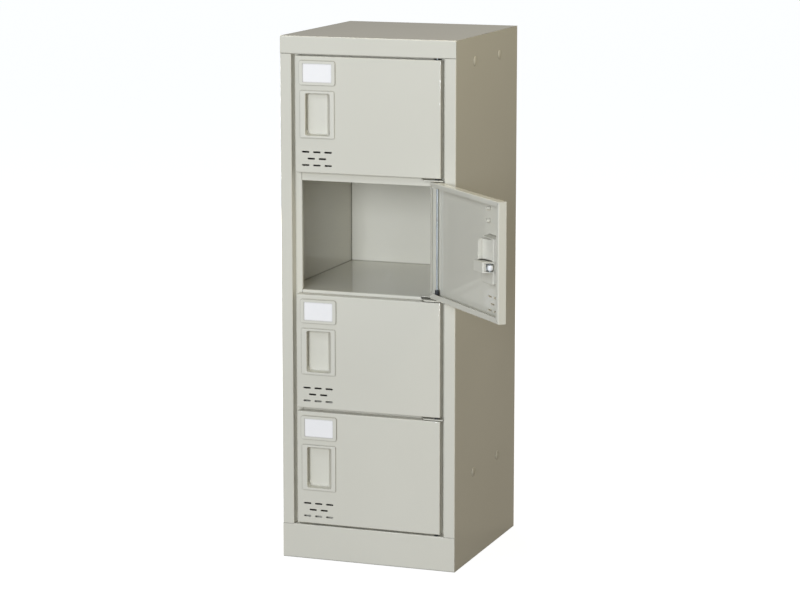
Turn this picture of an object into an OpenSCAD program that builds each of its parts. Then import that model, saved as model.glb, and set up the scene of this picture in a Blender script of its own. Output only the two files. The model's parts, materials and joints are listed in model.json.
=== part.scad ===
// Shoe locker, one column of four compartments, each with its own swing door.
// Millimetres. X runs across the front, Y from front to back, Z up.
// The origin is on the floor under the middle of the cabinet.

/* [Cabinet] */
// Outside width of the cabinet
cabinet_w = 312; // [290:1:380]
// Depth from the front face to the back
cabinet_d = 332; // [290:1:420]
// Height from one compartment to the next
tier_pitch = 202.5; // [195:0.5:260]
// Height of the header over the top door
header_h = 30; // [22:1:50]
// Height of the kick plate under the bottom door
kick_h = 60; // [40:1:90]
// Width of the front stile on each side
stile_w = 20; // [17:1:30]
// Sheet thickness of the cabinet
sheet = 1; // [0.8:0.1:1.2]
// Inner bend radius of all folded sheet
bend_r = 1; // [0.6:0.1:1.5]
// Width of the stop flanges that the doors close against
stop_w = 12; // [9:1:13]
// Hem that turns back from the edge of a side stop flange
stop_hem = 6; // [4:0.5:8]
// Space left between fixed sheets that lie side by side
seam_gap = 0.3; // [0.2:0.1:0.5]

/* [Shelves] */
// Height of the folded front edge of a shelf
shelf_edge_h = 15; // [13:1:22]
// Height of the side and back flanges of a shelf
shelf_flange_h = 12; // [9:1:16]
// Gap between a shelf and the side walls
shelf_side_gap = 0.7; // [0.4:0.1:1.2]
// Width of the hinge tongue where it leaves the shelf
tongue_w = 44; // [36:1:48]
// How far the free side of the tongue slants in
tongue_slant = 10; // [4:1:14]
// Thickness of the hinge tongue
tongue_t = 2; // [1.5:0.1:2.4]
// How far the slot over a tongue reaches behind the heel of the door
tongue_slot_d = 1; // [0.5:0.5:8]
// How far the sheet of the tongue runs on under the shelf behind the slot
tongue_lap = 4; // [2:0.5:8]

/* [Base] */
// Width of the flange that rests on the floor
foot_flange = 18; // [14:1:24]
// Height of the upright of the base rail
base_rail_h = 24; // [16:1:36]
// Depth of the ledge that carries the bottom shelf
kick_ledge = 30; // [26:1:40]
// Width of the rear flanges of the side panels and the top
rear_flange = 15; // [12:1:20]

/* [Doors] */
// Thickness of a door
door_t = 15.5; // [14.5:0.5:17]
// Sheet thickness of a door
door_sheet = 1; // [0.8:0.1:1.2]
// Gap between two doors, half of it under the header
door_gap = 6; // [5.6:0.1:7]
// Gap between a door and each stile
door_side_gap = 6.5; // [6:0.1:7.5]
// Gap between a closed door and the stop flanges
door_stop_gap = 0.5; // [0.4:0.1:1]
// Width of the lip on the back of a door, at the top and the free edge
lip_w = 8; // [6:0.5:9]
// Width of the lip along the bottom of a door
lip_bottom_w = 10; // [8:0.5:13]
// Width of the lip on the hinge side
lip_hinge_w = 5.5; // [4:0.5:6.5]
// Width of the mitre slits between the lips
lip_slit = 0.5; // [0.3:0.1:0.8]
// Half the size of the relief notches beside the hinge
lip_notch = 2.5; // [1.5:0.5:3]
// How far the second door stands open, in degrees
open_angle = 134; // [90:1:135]

/* [Hinge] */
// Diameter of the hinge rod
rod_d = 4; // [3:0.1:4.5]
// Distance of the rod from the hinge edge of the doors
rod_inset = 7.5; // [7:0.1:8.5]
// Depth of the rod behind the front face
rod_depth = 5.5; // [5.2:0.1:5.7]
// Length of rod beyond the sheet at each end
rod_end = 8; // [6:0.5:12]
// Radial running clearance of the bushes on the rod
rod_fit = 0.075; // [0.05:0.005:0.1]
// Diameter of the spacer ring under a door
spacer_d = 7.8; // [7.4:0.1:8.6]
// Outer diameter of a hinge bush inside the door
bush_d = 7; // [6.6:0.1:7]
// Height of the lower bush inside the door
bush_h = 14; // [8:0.5:18]
// Space between a moving piece and its fixed neighbour
run_gap = 0.3; // [0.3:0.05:0.4]

/* [Label holder] */
// Width of the label frame
label_w = 64; // [54:1:76]
// Height of the label frame
label_h = 40; // [34:1:46]
// Corner radius of the label frame
label_r = 4; // [2:0.5:6]
// How far the label frame stands proud
label_t = 2.4; // [2.2:0.1:3]
// Thickness of the frame behind the card
label_back = 0.6; // [0.4:0.1:0.8]
// How far the card reaches under the frame on each side
card_overlap = 2; // [1.5:0.1:3]
// Width of the border round the card
label_border = 5.8; // [4.5:0.1:7]
// Distance of the label frame from the free edge of the door
label_x = 8.7; // [6:0.1:12]
// Distance of the label frame from the top of the door
label_top = 8; // [6:0.1:12]
// Radius in the corners of the label window
label_window_r = 1; // [0.5:0.5:3]
// Distance of the pegs from the ends of the label frame
peg_in = 12; // [9:0.5:20]
// Height from a lower peg to the upper one
peg_step = 20; // [14:0.5:24]
// Diameter of the pegs that hold the label frame
peg_d = 5.5; // [4:0.1:6]
// Length of the pegs behind the door sheet
peg_len = 7; // [4:0.5:8]
// Thickness of the card
card_t = 0.5; // [0.3:0.1:0.8]

/* [Handle] */
// Width of the handle frame
handle_w = 61; // [59:1:70]
// Height of the handle frame
handle_h = 79; // [72:1:86]
// How far the handle frame stands proud of the door
handle_proud = 1.8; // [1:0.1:2.5]
// Width of the frame on the side of the free edge
handle_rim = 9.2; // [7:0.1:10]
// Width of the finger recess
recess_w = 44.2; // [42:0.2:47]
// Height of the finger recess
recess_h = 71; // [60:1:72]
// Depth of the finger recess behind the door face
recess_d = 16; // [13:0.5:18]
// How far the hinge side of the recess slants in towards its floor
recess_slant = 10.3; // [4:0.1:14]
// Wall of the handle moulding
handle_wall = 1.8; // [1.6:0.1:2]
// How far the recess reaches behind the frame towards the free edge
undercut = 3.8; // [3:0.1:4.5]
// Distance of the handle frame from the free edge of the door
handle_x = 9.8; // [9.6:0.1:14]
// Distance of the handle frame from the top of the door
handle_top = 58.3; // [54:0.1:64]
// Depth of the crest of the ridge on the back of the cup, behind the door face
ridge_d = 30; // [26:0.5:34]
// Thickness of the ridge
ridge_t = 2.5; // [2:0.1:4]
// Width of the slope that leads up to the ridge
ridge_slope = 28; // [24:0.5:30]
// How far the slope rises to the foot of the ridge
ridge_foot = 5; // [3:0.5:7]
// Corner radius of the handle frame
handle_corner_r = 2; // [1:0.5:4]
// Radius round the floor of the finger recess
recess_r = 3; // [2:0.5:5]
// Height of the solid corner under the undercut
undercut_up = 5; // [2:0.5:10]
// Space between the ridge and the catch case below it
ridge_gap = 1; // [0.5:0.5:3]

/* [Roller catch] */
// Height of the catch case
case_h = 17; // [16.5:0.5:20]
// Height of the case above the bottom of the handle frame
case_up = 23; // [18:0.5:26]
// Depth of the back of the case behind the door face
case_d = 35; // [32:1:40]
// Width of the back of the case
case_back_w = 32; // [30:1:34]
// How far the free edge side of the case slants
case_slant = 11.2; // [8:0.2:12]
// How far the case reaches over the lip of the door
case_over_lip = 1.9; // [0:0.1:2]
// Wall of the case
case_wall = 1.6; // [1.2:0.1:2]
// Diameter of the catch roller
roller_d = 9; // [7:0.5:9]
// Height of the catch roller
roller_h = 8.5; // [5:0.5:8.5]
// Diameter of the roller's pin
pin_d = 2; // [1.6:0.1:2.6]
// Gap between the roller and the edge of the stop flange
roller_clear = 1; // [0.9:0.1:1.5]
// Distance of the roller behind the stop flange
roller_back = 2.5; // [2:0.1:3]
// Clearance of the slider in its guide
slide_fit = 0.3; // [0.2:0.05:0.4]
// Travel of the roller into the case
catch_travel = 3; // [2:0.5:4]

/* [Vents] */
// Length of a vent slot
vent_len = 13.3; // [10:0.1:15]
// Height of a vent slot
vent_h = 3; // [2:0.1:4]
// Distance from one slot to the next
vent_pitch = 20.2; // [19:0.1:23]
// Distance from one row of slots to the next
vent_row = 11.2; // [9:0.1:13]
// Distance of the first slot's middle from the free edge of the door
vent_x = 19; // [17:0.1:24]
// Height of the lowest row above the bottom of the door
vent_z = 13; // [13:0.1:16]

/* [Side plugs] */
// Diameter of a side plug
plug_d = 16; // [12:0.5:18]
// Diameter of the hole that a side plug fills
plug_hole_d = 11; // [8:0.5:11.5]
// Height of a plug's head
plug_t = 1.6; // [1:0.1:2.2]
// Length of a plug's shank
plug_shank = 4; // [3:0.5:6]
// Distance of the front plugs from the front face
plug_front = 98; // [80:1:120]
// Distance from a front plug to the rear one
plug_pitch = 132; // [100:1:150]
// Distance of the upper plugs from the top
plug_from_top = 41.5; // [30:0.5:70]
// Height of the lower plugs above the floor
plug_from_floor = 153.5; // [110:0.5:160]

/* [Hidden] */
$fn = 48;
TIERS = 4;
OPEN_TIER = 2;
// the middle row of vents has one slot fewer and stands half a pitch in
vent_count = [3, 2, 3];
vent_shift = [0, 0.5, 0];
EPS = 0.01;
FAR = 1000;
PAINT = [0.80, 0.80, 0.775];
PLASTIC = [0.79, 0.79, 0.765];
ZINC = [0.70, 0.73, 0.75];
BLACK = [0.10, 0.11, 0.12];
CARD = [0.93, 0.93, 0.93];
NYLON = [0.90, 0.90, 0.89];

cabinet_h = kick_h + TIERS * tier_pitch + header_h;
doors_top = cabinet_h - header_h;
stop_depth = door_t + door_stop_gap;
// outer radius of a cabinet fold and of a door fold
fold_r = bend_r + sheet;
door_fold_r = bend_r + door_sheet;

door_x0 = stile_w + door_side_gap;
door_x1 = cabinet_w - stile_w - door_side_gap;
door_w = door_x1 - door_x0;
door_h = tier_pitch - door_gap;
rod_x = door_x1 - rod_inset;
rod_y = rod_depth;

// the heel of a door, its back corner beside the hinge, swings this far from the rod
heel_r = norm([rod_inset, door_t - rod_depth]);
// the stop on the hinge side lies deeper, clear of the heel
heel_stop_depth = rod_y + heel_r + door_stop_gap;
heel_side_gap = 3;
heel_clear_x = rod_x - sqrt(pow(heel_r, 2) - pow(stop_depth - rod_y, 2)) - heel_side_gap;

shelf_front = stop_depth;
shelf_back = cabinet_d - 2 * sheet;
tongue_end_gap = 2;
tongue_x1 = door_x1 + door_side_gap - tongue_end_gap;
tongue_x0 = tongue_x1 - tongue_w;
tongue_front = rod_y - rod_d;
slot_back = heel_stop_depth + tongue_slot_d;
tongue_back = slot_back + tongue_lap;
tongue_drop = door_gap / 2;
rod_hole_fit = 0.175;
rod_hole_d = rod_d + 2 * rod_hole_fit;

spacer_h = tongue_drop - run_gap;
top_flange_h = door_gap - tongue_drop - tongue_t - run_gap;
bush_shoulder = 0.7;
bush_neck_d = bush_d - 2 * bush_shoulder;
bush_fit = 0.05;
bush_bore_d = rod_d + 2 * rod_fit;

label_x0 = door_x0 + label_x;
label_z1 = door_h - label_top;
label_z0 = label_z1 - label_h;
peg_fit = 0.1;
peg_hole_d = peg_d + 2 * peg_fit;
card_fit = 0.2;
card_margin = 0.8;
label_window_in = 1.8;
card_border_z = label_border - label_window_in - card_margin;
card_low = [label_x0 + label_border - card_overlap, label_z0 + card_border_z];
card_high = [label_x0 + label_w - label_border + card_overlap, label_z1 - card_border_z];

handle_x0 = door_x0 + handle_x;
handle_z1 = door_h - handle_top;
handle_z0 = handle_z1 - handle_h;
recess_x0 = handle_x0 + handle_rim;
recess_x1 = recess_x0 + recess_w;
recess_z0 = handle_z0 + (handle_h - recess_h) / 2;
cup_x0 = recess_x0 - undercut - handle_wall;
cup_x1 = recess_x1 + handle_wall;
cup_z0 = recess_z0 - handle_wall;
cup_z1 = recess_z0 + recess_h + handle_wall;
cup_d = recess_d + handle_wall;
// how far the hinge side of the cup moves in for each millimetre of depth
cup_lean = recess_slant / (recess_d + handle_proud);
panel_cut_fit = 0.3;
// the slope starts this far from the free edge side of the cup, and steepens at its bend
slope_in = 1.6;
slope_bend = [0.6 * ridge_slope, 0.28 * ridge_foot];
ridge_below_top = 2;

case_z0 = handle_z0 + case_up;
case_z1 = case_z0 + case_h;
case_x0 = door_x0 + lip_w - case_over_lip;
case_x1 = case_x0 + case_slant;
case_back_x1 = case_x1 + case_back_w;
case_foot_t = 1;
case_foot_in = 1;
case_foot_d = cup_d + case_foot_t;
case_mid = (case_z0 + case_z1) / 2;
roller_y = stop_depth + sheet + roller_back + roller_d / 2;
roller_x = stile_w + stop_w + roller_clear + roller_d / 2;
slider_arm_t = 1.4;
slider_z0 = case_mid - roller_h / 2 - run_gap - slider_arm_t;
slider_z1 = case_mid + roller_h / 2 + run_gap + slider_arm_t;
roller_reach = 0.5;
slider_half_w = roller_d / 2 - roller_reach;
slider_len = 8;
slider_front = roller_x + roller_d / 2 + 2 * run_gap;
slider_back = roller_x + roller_d / 2 + slider_len;
spring_len = 12;
spring_d = 6;
spring_wire = 0.8;
guide_end = slider_back + spring_len;
pin_fit = 0.075;

plug_y = [plug_front, plug_front + plug_pitch];
plug_z = [plug_from_floor, cabinet_h - plug_from_top];
plug_fit = 0.1;
plug_rim_t = 0.4;
plug_rise = plug_t - plug_rim_t;
plug_dome_r = (pow(plug_d / 2, 2) + pow(plug_rise, 2)) / (2 * plug_rise);
// the push-on clips stay clear of the folds of the kick plate and the header
clip_d = 2 * (rod_y - fold_r);
clip_t = 0.8;

// floor of the compartment behind door i, which is also the bottom edge of that door
function tier_z(i) = kick_h + door_gap / 2 + (TIERS - i) * tier_pitch;
function unit(v) = v / norm(v);
function lean(v) = atan2(v[1], v[0]);

// everything below is drawn from the front left corner and moved to the middle here
module in_cabinet() {
    translate([-cabinet_w / 2, -cabinet_d / 2, 0])
        children();
}

// carries a piece of door i to its height and, on the open door, round the rod
module on_door(i) {
    turn = i == OPEN_TIER ? open_angle : 0;
    in_cabinet()
        translate([rod_x, rod_y, tier_z(i)])
            rotate([0, 0, turn])
                translate([-rod_x, -rod_y, 0])
                    children();
}

module box(low, high) {
    translate(low)
        cube(high - low);
}

// flat strip between two points of a fold line
module strip(p, q, t) {
    translate((p + q) / 2)
        rotate(lean(q - p))
            square([norm(q - p), t], center = true);
}

// quarter ring of a right-angled fold at corner p, between directions a and b
module fold(p, a, b, t, r) {
    c = p - a * r + b * r;
    reach = r + t;
    span = (a - b) * reach;
    translate(c)
        intersection() {
            difference() {
                circle(r = r + t / 2);
                circle(r = r - t / 2);
            }
            translate([min(0, span[0]), min(0, span[1])])
                square([abs(span[0]), abs(span[1])]);
        }
}

// section of folded sheet: pts is its middle line, turning at right angles
module sheet_section(pts, t) {
    r = bend_r + t / 2;
    last = len(pts) - 2;
    for (k = [0 : last]) {
        d = unit(pts[k + 1] - pts[k]);
        from = k == 0 ? pts[k] : pts[k] + d * r;
        to = k == last ? pts[k + 1] : pts[k + 1] - d * r;
        strip(from, to, t);
    }
    for (k = [1 : last])
        fold(pts[k], unit(pts[k] - pts[k - 1]), unit(pts[k + 1] - pts[k]), t, r);
}

// rectangle with rounded corners
module round_rect(low, high, r) {
    for (x = [low[0] + r, high[0] - r])
        for (y = [low[1] + r, high[1] - r])
            translate([x, y])
                circle(r = r);
    translate([low[0] + r, low[1]])
        square([high[0] - low[0] - 2 * r, high[1] - low[1]]);
    translate([low[0], low[1] + r])
        square([high[0] - low[0], high[1] - low[1] - 2 * r]);
}

// draws a section given in Y and Z, and stretches it from x0 to x1
module along_x(x0, x1) {
    translate([x0, 0, 0])
        rotate([90, 0, 90])
            linear_extrude(x1 - x0)
                children();
}

// draws a section given in X and Y, and stretches it from z0 to z1
module along_z(z0, z1) {
    translate([0, 0, z0])
        linear_extrude(z1 - z0)
            children();
}

// draws a face given in X and Z, and stretches it from y0 to y1
module along_y(y0, y1) {
    translate([0, y1, 0])
        rotate([90, 0, 0])
            linear_extrude(y1 - y0)
                children();
}

// side panel with stile, return, stop flange, hem and rear flange, all one folded sheet
module side_panel(stop_at) {
    h = sheet / 2;
    edge = stile_w + stop_w - h;
    difference() {
        along_z(0, cabinet_h - sheet)
            sheet_section([
                [rear_flange, cabinet_d - h],
                [h, cabinet_d - h],
                [h, h],
                [stile_w - h, h],
                [stile_w - h, stop_at + h],
                [edge, stop_at + h],
                [edge, stop_at + h + stop_hem]
            ], sheet);
        for (z = [[-EPS, kick_h], [doors_top, cabinet_h]]) {
            box([-EPS, -EPS, z[0]], [FAR, sheet + seam_gap, z[1]]);
            box([fold_r, -EPS, z[0]], [FAR, stop_at + stop_hem + fold_r, z[1]]);
        }
        for (y = plug_y)
            for (z = plug_z)
                translate([-FAR / 2, y, z])
                    rotate([0, 90, 0])
                        cylinder(d = plug_hole_d, h = FAR);
    }
}

module left_side_panel() {
    color(PAINT)
        in_cabinet()
            side_panel(stop_depth);
}

module right_side_panel() {
    color(PAINT)
        in_cabinet()
            translate([cabinet_w, 0, 0])
                mirror([1, 0, 0])
                    side_panel(heel_stop_depth);
}

// top sheet, folded down at the front into the header, its return and the stop flange
module top_panel() {
    h = sheet / 2;
    inner = sheet + seam_gap;
    color(PAINT)
        in_cabinet()
            difference() {
                along_x(0, cabinet_w)
                    sheet_section([
                        [cabinet_d - h, cabinet_h - rear_flange],
                        [cabinet_d - h, cabinet_h - h],
                        [h, cabinet_h - h],
                        [h, doors_top + h],
                        [stop_depth + h, doors_top + h],
                        [stop_depth + h, doors_top - stop_w]
                    ], sheet);
                // the ends are cut back where the side panels stand
                for (x = [[-EPS, inner], [cabinet_w - inner, FAR]])
                    box([x[0], sheet, 0], [x[1], FAR, cabinet_h - sheet]);
                // the stop flange hangs only between the side stops, clear of the door's heel
                box([-EPS, sheet, 0], [stile_w + stop_w + seam_gap, stop_depth + fold_r, doors_top]);
                box([heel_clear_x, sheet, 0], [FAR, stop_depth + fold_r, doors_top]);
                for (x = [[-EPS, rear_flange + seam_gap], [cabinet_w - rear_flange - seam_gap, FAR]])
                    box([x[0], cabinet_d - fold_r, 0], [x[1], FAR, cabinet_h - sheet]);
                translate([rod_x, rod_y, 0])
                    cylinder(d = rod_hole_d, h = doors_top + 2 * sheet);
            }
}

module back_panel() {
    color(PAINT)
        in_cabinet()
            box([fold_r, cabinet_d - 2 * sheet, sheet],
                [cabinet_w - fold_r, cabinet_d - sheet, cabinet_h - fold_r]);
}

// kick plate with its floor flange below and the ledge of the bottom shelf above
module kick_plate() {
    h = sheet / 2;
    inner = sheet + seam_gap;
    color(PAINT)
        in_cabinet()
            difference() {
                along_x(0, cabinet_w)
                    sheet_section([
                        [foot_flange, h],
                        [h, h],
                        [h, kick_h - h],
                        [kick_ledge, kick_h - h]
                    ], sheet);
                for (x = [[-EPS, inner], [cabinet_w - inner, FAR]])
                    box([x[0], sheet, -EPS], [x[1], FAR, kick_h + EPS]);
                translate([rod_x, rod_y, kick_h - 2 * sheet])
                    cylinder(d = rod_hole_d, h = 3 * sheet);
            }
}

// angle rail inside the foot of the sides and the back, which stands on the floor
module base_rail() {
    x0 = sheet + seam_gap;
    x1 = cabinet_w - x0;
    y0 = foot_flange + seam_gap;
    y1 = cabinet_d - 2 * sheet - seam_gap;
    color(PAINT)
        in_cabinet()
            difference() {
                box([x0, y0, 0], [x1, y1, base_rail_h]);
                box([x0 + sheet, y0 - EPS, sheet], [x1 - sheet, y1 - sheet, base_rail_h + EPS]);
                box([x0 + foot_flange, y0 - EPS, -EPS], [x1 - foot_flange, y1 - foot_flange, FAR]);
            }
}

// plate with its front edge, side and back flanges; edge_h is the height of the front edge
module shelf_plate(top, edge_h) {
    h = sheet / 2;
    x0 = sheet + shelf_side_gap;
    x1 = cabinet_w - x0;
    notch = stile_w + stop_w + seam_gap;
    difference() {
        union() {
            along_x(x0, x1)
                sheet_section([
                    [shelf_front + h, top - edge_h],
                    [shelf_front + h, top - h],
                    [shelf_back - seam_gap - h, top - h],
                    [shelf_back - seam_gap - h, top - shelf_flange_h]
                ], sheet);
            for (x = [x0, x1 - sheet])
                box([x, shelf_front + fold_r, top - shelf_flange_h],
                    [x + sheet, shelf_back - seam_gap - fold_r, top - h]);
        }
        // corners cut out round the side stops
        box([-EPS, 0, 0], [notch, stop_depth + stop_hem + fold_r, FAR]);
        box([cabinet_w - notch, 0, 0], [FAR, heel_stop_depth + stop_hem + fold_r, FAR]);
    }
}

// plan of a tongue: slanted in front, and running on behind as far as the side stop
module tongue_plan() {
    polygon([
        [tongue_x0, shelf_front + sheet],
        [tongue_x0 + tongue_slant, tongue_front],
        [tongue_x1, tongue_front],
        [tongue_x1, shelf_front + sheet]
    ]);
    translate([tongue_x0, shelf_front])
        square([cabinet_w - stile_w - stop_w - seam_gap - tongue_x0, tongue_back - shelf_front]);
}

// shelf under door i, with the tongue that guides the hinge rod between two doors
module shelf(i) {
    top = tier_z(i);
    tongue_top = top - tongue_drop;
    color(PAINT)
        in_cabinet()
            difference() {
                union() {
                    difference() {
                        shelf_plate(top, shelf_edge_h);
                        // slot over the tongue
                        box([tongue_x0, 0, tongue_top], [FAR, slot_back, FAR]);
                        // clearance for the heel of the door below
                        box([heel_clear_x, 0, 0], [FAR, shelf_front + fold_r, tongue_top - tongue_t]);
                    }
                    along_z(tongue_top - tongue_t, tongue_top)
                        tongue_plan();
                }
                translate([rod_x, rod_y, tongue_top - 2 * tongue_t])
                    cylinder(d = rod_hole_d, h = 3 * tongue_t);
            }
}

module bottom_shelf() {
    top = tier_z(TIERS);
    color(PAINT)
        in_cabinet()
            difference() {
                shelf_plate(top, shelf_edge_h);
                // the front edge stands on the ledge of the kick plate
                box([0, 0, 0], [FAR, kick_ledge + EPS, kick_h]);
                box([heel_clear_x, 0, 0], [FAR, slot_back, FAR]);
            }
}

// rod that all doors turn on, from the kick plate to the header
module hinge_rod() {
    color(ZINC)
        in_cabinet()
            translate([rod_x, rod_y, kick_h - sheet - rod_end])
                cylinder(d = rod_d, h = doors_top + sheet + rod_end - (kick_h - sheet - rod_end));
}

// push-on washers that keep the rod from sliding out
module rod_clips() {
    color(ZINC)
        in_cabinet()
            for (z = [kick_h - sheet - clip_t, doors_top + sheet])
                translate([rod_x, rod_y, z])
                    difference() {
                        cylinder(d = clip_d, h = clip_t);
                        translate([0, 0, -EPS])
                            cylinder(d = rod_d, h = clip_t + 2 * EPS);
                    }
}

// plastic plugs in the joining holes of both side panels
module side_plugs() {
    color(PLASTIC)
        in_cabinet()
            for (side = [0, 1])
                for (y = plug_y)
                    for (z = plug_z)
                        translate([side * cabinet_w, y, z])
                            rotate([0, side == 0 ? 90 : -90, 0])
                                side_plug();
}

// plug with its axis on Z, its seat at zero, its domed head below and its shank upwards
module side_plug() {
    intersection() {
        translate([0, 0, -plug_t])
            cylinder(d = plug_d, h = plug_t);
        translate([0, 0, plug_dome_r - plug_t])
            sphere(r = plug_dome_r);
    }
    cylinder(d = plug_hole_d - 2 * plug_fit, h = plug_shank);
}

// prism with rounded edges along all four sides of its front and back
module pan_block(low, high, r) {
    intersection() {
        along_z(low[2], high[2])
            round_rect([low[0], low[1]], [high[0], high[1]], r);
        along_x(low[0], high[0])
            round_rect([low[1], low[2]], [high[1], high[2]], r);
    }
}

// door folded from one sheet: face, four walls and four lips with mitred corners
module door_panel(i) {
    s = door_sheet;
    color(PAINT)
        on_door(i)
            difference() {
                pan_block([door_x0, 0, 0], [door_x1, door_t, door_h], door_fold_r);
                pan_block([door_x0 + s, s, s], [door_x1 - s, door_t - s, door_h - s], bend_r);
                // opening inside the lips
                box([door_x0 + lip_w, door_t / 2, lip_bottom_w],
                    [door_x1 - lip_hinge_w, FAR, door_h - lip_w]);
                lip_slits();
                bush_holes();
                vents();
                box([cup_x0 - panel_cut_fit, -EPS, cup_z0 - panel_cut_fit],
                    [cup_x1 + panel_cut_fit, s + EPS, cup_z1 + panel_cut_fit]);
                label_pegs(peg_hole_d, -EPS, s + EPS);
            }
}

// slits along the mitre of the lips, and small relief notches beside the hinge
module lip_slits() {
    depth = door_sheet + bend_r;
    notch = lip_notch;
    corners = [
        [door_x0 + lip_w, lip_bottom_w, lip_w, lip_bottom_w],
        [door_x0 + lip_w, door_h - lip_w, lip_w, -lip_w],
        [door_x1 - lip_hinge_w, lip_bottom_w, -lip_hinge_w, lip_bottom_w],
        [door_x1 - lip_hinge_w, door_h - lip_w, -lip_hinge_w, -lip_w]
    ];
    for (c = corners)
        translate([c[0], door_t - door_sheet - EPS, c[1]])
            rotate([0, -lean([-c[2], -c[3]]), 0])
                translate([-notch, 0, -lip_slit / 2])
                    cube([norm([c[2], c[3]]) + notch - depth, 2 * door_sheet, lip_slit]);
    for (z = [lip_bottom_w, door_h - lip_w])
        translate([door_x1 - lip_hinge_w, door_t - door_sheet - EPS, z])
            rotate([0, 45, 0])
                translate([-notch, 0, -notch])
                    cube([2 * notch, 2 * door_sheet, 2 * notch]);
}

module bush_holes() {
    translate([rod_x, rod_y, -EPS])
        cylinder(d = bush_neck_d + 2 * bush_fit, h = door_sheet + 2 * EPS);
    translate([rod_x, rod_y, door_h - door_sheet - EPS])
        cylinder(d = bush_neck_d + 2 * bush_fit, h = door_sheet + 2 * EPS);
}

// three staggered rows of round-ended slots
module vents() {
    r = vent_h / 2;
    half = vent_len / 2 - r;
    for (row = [0 : 2])
        for (k = [0 : vent_count[row] - 1])
            translate([door_x0 + vent_x + (k + vent_shift[row]) * vent_pitch, 0, vent_z + row * vent_row])
                along_y(-EPS, door_sheet + EPS) {
                    square([2 * half, vent_h], center = true);
                    translate([-half, 0])
                        circle(r = r);
                    translate([half, 0])
                        circle(r = r);
                }
}

// four pegs of the label frame, or their holes
module label_pegs(d, y0, y1) {
    middle = (label_z0 + label_z1) / 2;
    for (x = [label_x0 + peg_in, label_x0 + label_w - peg_in])
        for (z = [middle - peg_step / 2, middle + peg_step / 2])
            translate([x, 0, z])
                along_y(y0, y1)
                    circle(d = d);
}

// frame round the name card, with pegs through the door and a slot for the card
module label_frame(i) {
    slot = card_t + 2 * card_fit;
    low = [label_x0, label_z0];
    high = [label_x0 + label_w, label_z1];
    window = [label_border, label_border - label_window_in];
    color(PLASTIC)
        on_door(i) {
            difference() {
                along_y(-label_t, 0)
                    round_rect(low, high, label_r);
                along_y(-label_t - EPS, -label_back - slot + EPS)
                    round_rect(low + window, high - window, label_window_r);
                // slot for the card, open towards the hinge side
                box([card_low[0] - card_fit, -label_back - slot, card_low[1] - card_fit],
                    [high[0] + EPS, -label_back, card_high[1] + card_fit]);
            }
            label_pegs(peg_d, -EPS, door_sheet + peg_len);
        }
}

module label_card(i) {
    color(CARD)
        on_door(i)
            box([card_low[0], -label_back - card_fit - card_t, card_low[1]],
                [card_high[0], -label_back - card_fit, card_high[1]]);
}

// finger recess: through the frame, rounded at its floor, undercut towards the free edge
module finger_recess() {
    front = -handle_proud - 2 * recess_r;
    z0 = recess_z0;
    z1 = recess_z0 + recess_h;
    intersection() {
        along_z(z0, z1)
            polygon([
                [recess_x0, front],
                [recess_x0, recess_d],
                [recess_x1 - recess_slant, recess_d],
                [recess_x1, -handle_proud],
                [recess_x1, front]
            ]);
        along_x(recess_x0, recess_x1)
            round_rect([front, z0], [recess_d, z1], recess_r);
    }
    box([recess_x0 - undercut, handle_wall, z0 + undercut_up],
        [recess_x0 + 2 * recess_r, recess_d, z1 - recess_r]);
}

// cup round the finger recess, its hinge side parallel to the slanted side of the recess
module cup_body() {
    along_z(cup_z0, cup_z1)
        polygon([
            [cup_x0, -EPS],
            [cup_x0, cup_d],
            [cup_x1 - cup_lean * (cup_d + handle_proud), cup_d],
            [cup_x1 - cup_lean * (handle_proud - EPS), -EPS]
        ]);
}

// upright ridge on the back of the cup, and the slope that leads up to it
module cup_ridge() {
    x0 = cup_x0 + slope_in;
    x1 = x0 + ridge_slope;
    along_z(case_z1 + ridge_gap, cup_z1 - ridge_below_top)
        polygon([
            [x0, cup_d - EPS],
            [x1 + ridge_t, cup_d - EPS],
            [x1 + ridge_t, ridge_d],
            [x1, ridge_d],
            [x1, cup_d + ridge_foot],
            [x0 + slope_bend[0], cup_d + slope_bend[1]],
            [x0, cup_d]
        ]);
}

// moulded frame and cup of the handle, with the ridge on its back
module handle(i) {
    color(PLASTIC)
        on_door(i)
            difference() {
                union() {
                    along_y(-handle_proud, 0)
                        round_rect([handle_x0, handle_z0],
                                   [handle_x0 + handle_w, handle_z0 + handle_h], handle_corner_r);
                    cup_body();
                    cup_ridge();
                }
                finger_recess();
            }
}

// plan of the catch case, wide at its foot and slanted on the side of the free edge
module case_plan(inset) {
    polygon([
        [case_x0 + inset, case_foot_d + inset],
        [case_x1 + inset, case_d - inset],
        [case_back_x1 - inset, case_d - inset],
        [case_back_x1 - inset, case_foot_d + inset]
    ]);
}

// case behind the cup: a wide mouth round the roller, then a guide for the slider and the spring
module catch_case(i) {
    w = case_wall;
    guide_y = slider_half_w + slide_fit;
    color(PLASTIC)
        on_door(i)
            difference() {
                union() {
                    along_z(case_z0, case_z1)
                        case_plan(0);
                    // foot that bridges to the back of the cup
                    box([cup_x0 + case_foot_in, cup_d, case_z0 + w],
                        [case_back_x1 - case_foot_in, case_foot_d + EPS, case_z1 - w]);
                }
                box([case_x0 - w, stop_depth, case_z0 + w], [slider_front, case_d - w, case_z1 - w]);
                box([case_x0 - w, roller_y - guide_y, slider_z0 - slide_fit],
                    [guide_end, roller_y + guide_y, slider_z1 + slide_fit]);
            }
}

// spring between the back wall of the case and the slider
module catch_spring(i) {
    color(ZINC)
        on_door(i)
            translate([slider_back, roller_y, case_mid])
                rotate([0, 90, 0])
                    difference() {
                        cylinder(d = spring_d, h = spring_len);
                        translate([0, 0, -EPS])
                            cylinder(d = spring_d - 2 * spring_wire, h = spring_len + 2 * EPS);
                    }
}

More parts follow.
